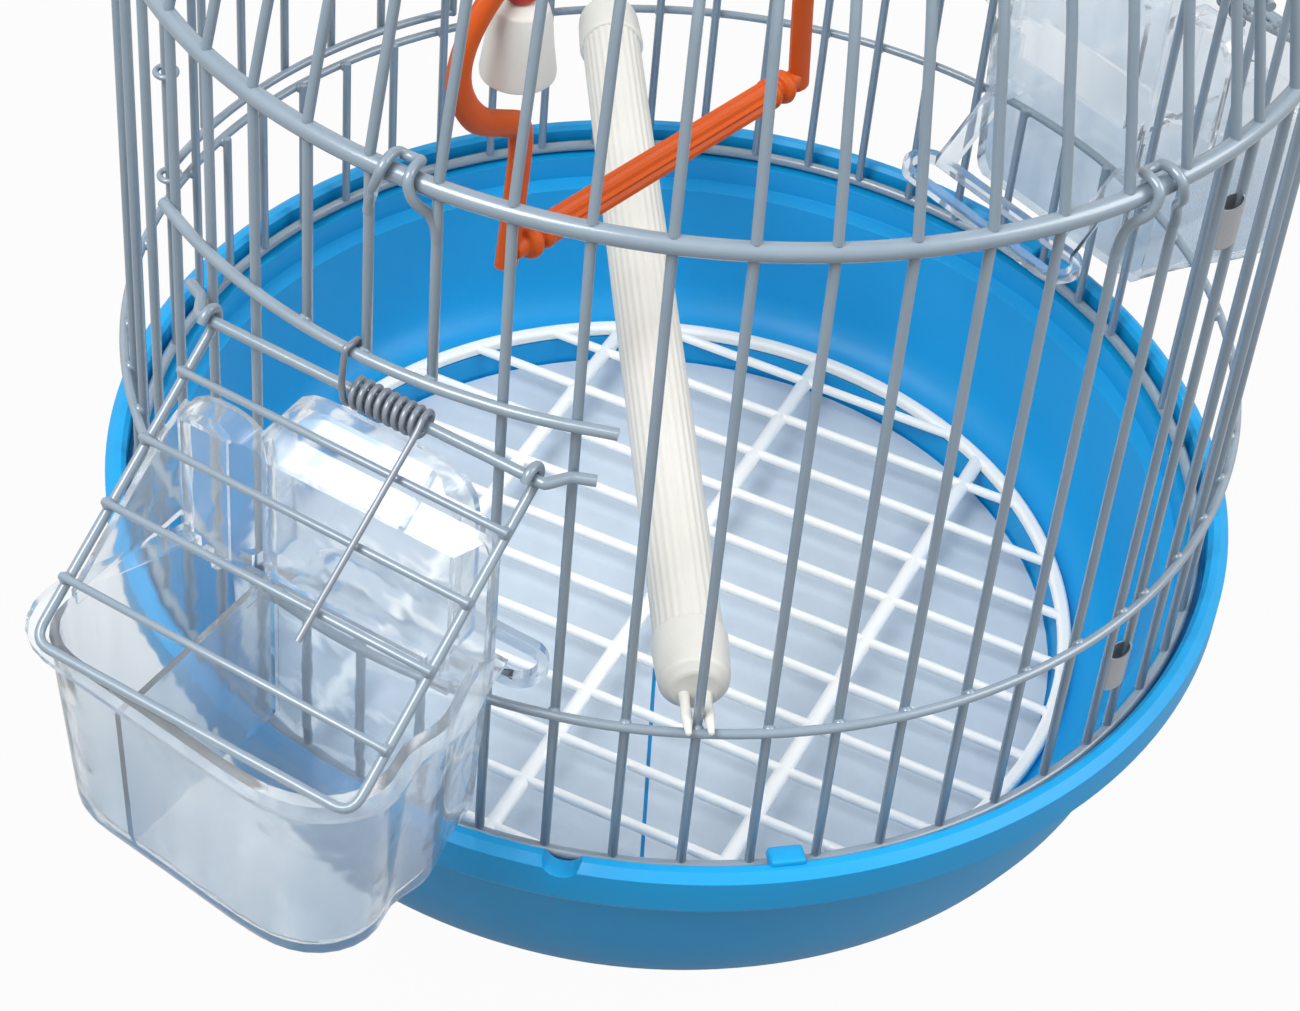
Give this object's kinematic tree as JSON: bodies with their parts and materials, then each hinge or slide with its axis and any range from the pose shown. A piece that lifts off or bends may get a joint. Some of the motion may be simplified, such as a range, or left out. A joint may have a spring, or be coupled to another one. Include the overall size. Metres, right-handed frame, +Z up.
{
  "type": "bird cage",
  "caption": "Round wire bird cage on a deep plastic tray, with outside feeder cups under sprung wire guards, a lift-up door, a perch, a swing with a bell and a hanging hook.",
  "frame": {"origin": "on the cage's axis at the underside of the base tray", "axes": "+Z up; -Y towards the front; +X to the right seen from the front"},
  "size_m": [0.2793, 0.3101, 0.3579],
  "materials": {
    "blue_plastic": "smooth moulded",
    "liner_sheet": "translucent sheet",
    "white_plastic": "smooth moulded",
    "wire": "smooth coated wire",
    "spring_steel": "bright drawn wire",
    "clip_metal": "thin folded sheet",
    "clear_plastic": "clear moulded",
    "perch_plastic": "fluted moulded",
    "orange_plastic": "smooth moulded",
    "bell_white": "smooth moulded",
    "bead_red": "smooth moulded"
  },
  "bodies": {
    "cage": {"base_tray": "blue_plastic", "crown_cap": "blue_plastic", "dome_long_wires": "wire", "dome_ring": "wire", "dome_short_wires": "wire", "door_header": "wire", "droppings_liner": "liner_sheet", "feeder_cup_left": "clear_plastic", "feeder_cup_right": "clear_plastic", "feeder_header_left": "wire", "feeder_header_right": "wire", "floor_grille": "white_plastic", "hinge_wire_left": "wire", "hinge_wire_right": "wire", "hook_pairs": "wire", "lower_ring": "wire", "perch_caps": "perch_plastic", "perch_rod": "perch_plastic", "rim_ring": "wire", "seam_clip_lower": "clip_metal", "seam_clip_upper": "clip_metal", "swing_staple": "wire", "top_ring": "wire", "torsion_spring_left": "spring_steel", "torsion_spring_right": "spring_steel", "wall_wires": "wire"},
    "guard_left": {"guard_frame_left": "wire", "guard_bars_left": "wire"},
    "guard_right": {"guard_frame_right": "wire", "guard_bars_right": "wire"},
    "main_door": {"door_frame": "wire", "door_bars": "wire", "door_eyes": "wire"},
    "swing": {"swing_frame": "orange_plastic", "swing_bar": "orange_plastic"},
    "bell": {"bell": "bell_white", "bell_bead": "bead_red"},
    "clapper": {"bell_clapper": "bell_white"},
    "hanging_hook": {"hanging_hook": "wire"}
  },
  "joints": [
    {"name": "guard_left_hinge", "type": "hinge", "parent": "cage", "child": "guard_left", "pos_m": [-0.05844, -0.10355, 0.157], "axis": [-0.8709, 0.4915, 0], "range_deg": [0, 75], "stiffness_Nm_per_rad": 0.05, "springref_deg": -34.38, "deforming": ["torsion_spring_left"]},
    {"name": "guard_right_hinge", "type": "hinge", "parent": "cage", "child": "guard_right", "pos_m": [0.08758, 0.08042, 0.157], "axis": [0.6764, -0.7366, 0], "range_deg": [0, 75], "stiffness_Nm_per_rad": 0.05, "springref_deg": -34.38, "deforming": ["torsion_spring_right"]},
    {"name": "door_slide", "type": "slide", "parent": "cage", "child": "main_door", "axis": [0, 0, 1], "range_m": [0, 0.065]},
    {"name": "swing_pivot", "type": "hinge", "parent": "cage", "child": "swing", "pos_m": [-0.009, 0.0005, 0.3], "axis": [0.6347, 0.7727, 0], "range_deg": [-30, 30]},
    {"name": "bell_pivot", "type": "hinge", "parent": "swing", "child": "bell", "pos_m": [-0.03788, -0.03466, 0.204], "axis": [0.6347, 0.7727, 0], "range_deg": [-20, 20]},
    {"name": "clapper_pivot", "type": "hinge", "parent": "bell", "child": "clapper", "pos_m": [-0.03788, -0.03466, 0.1976], "axis": [0.6347, 0.7727, 0], "range_deg": [-14, 14]},
    {"name": "hook_swivel", "type": "hinge", "parent": "cage", "child": "hanging_hook", "pos_m": [0, 0, 0.32], "axis": [0, 0, 1], "continuous": true}
  ]
}
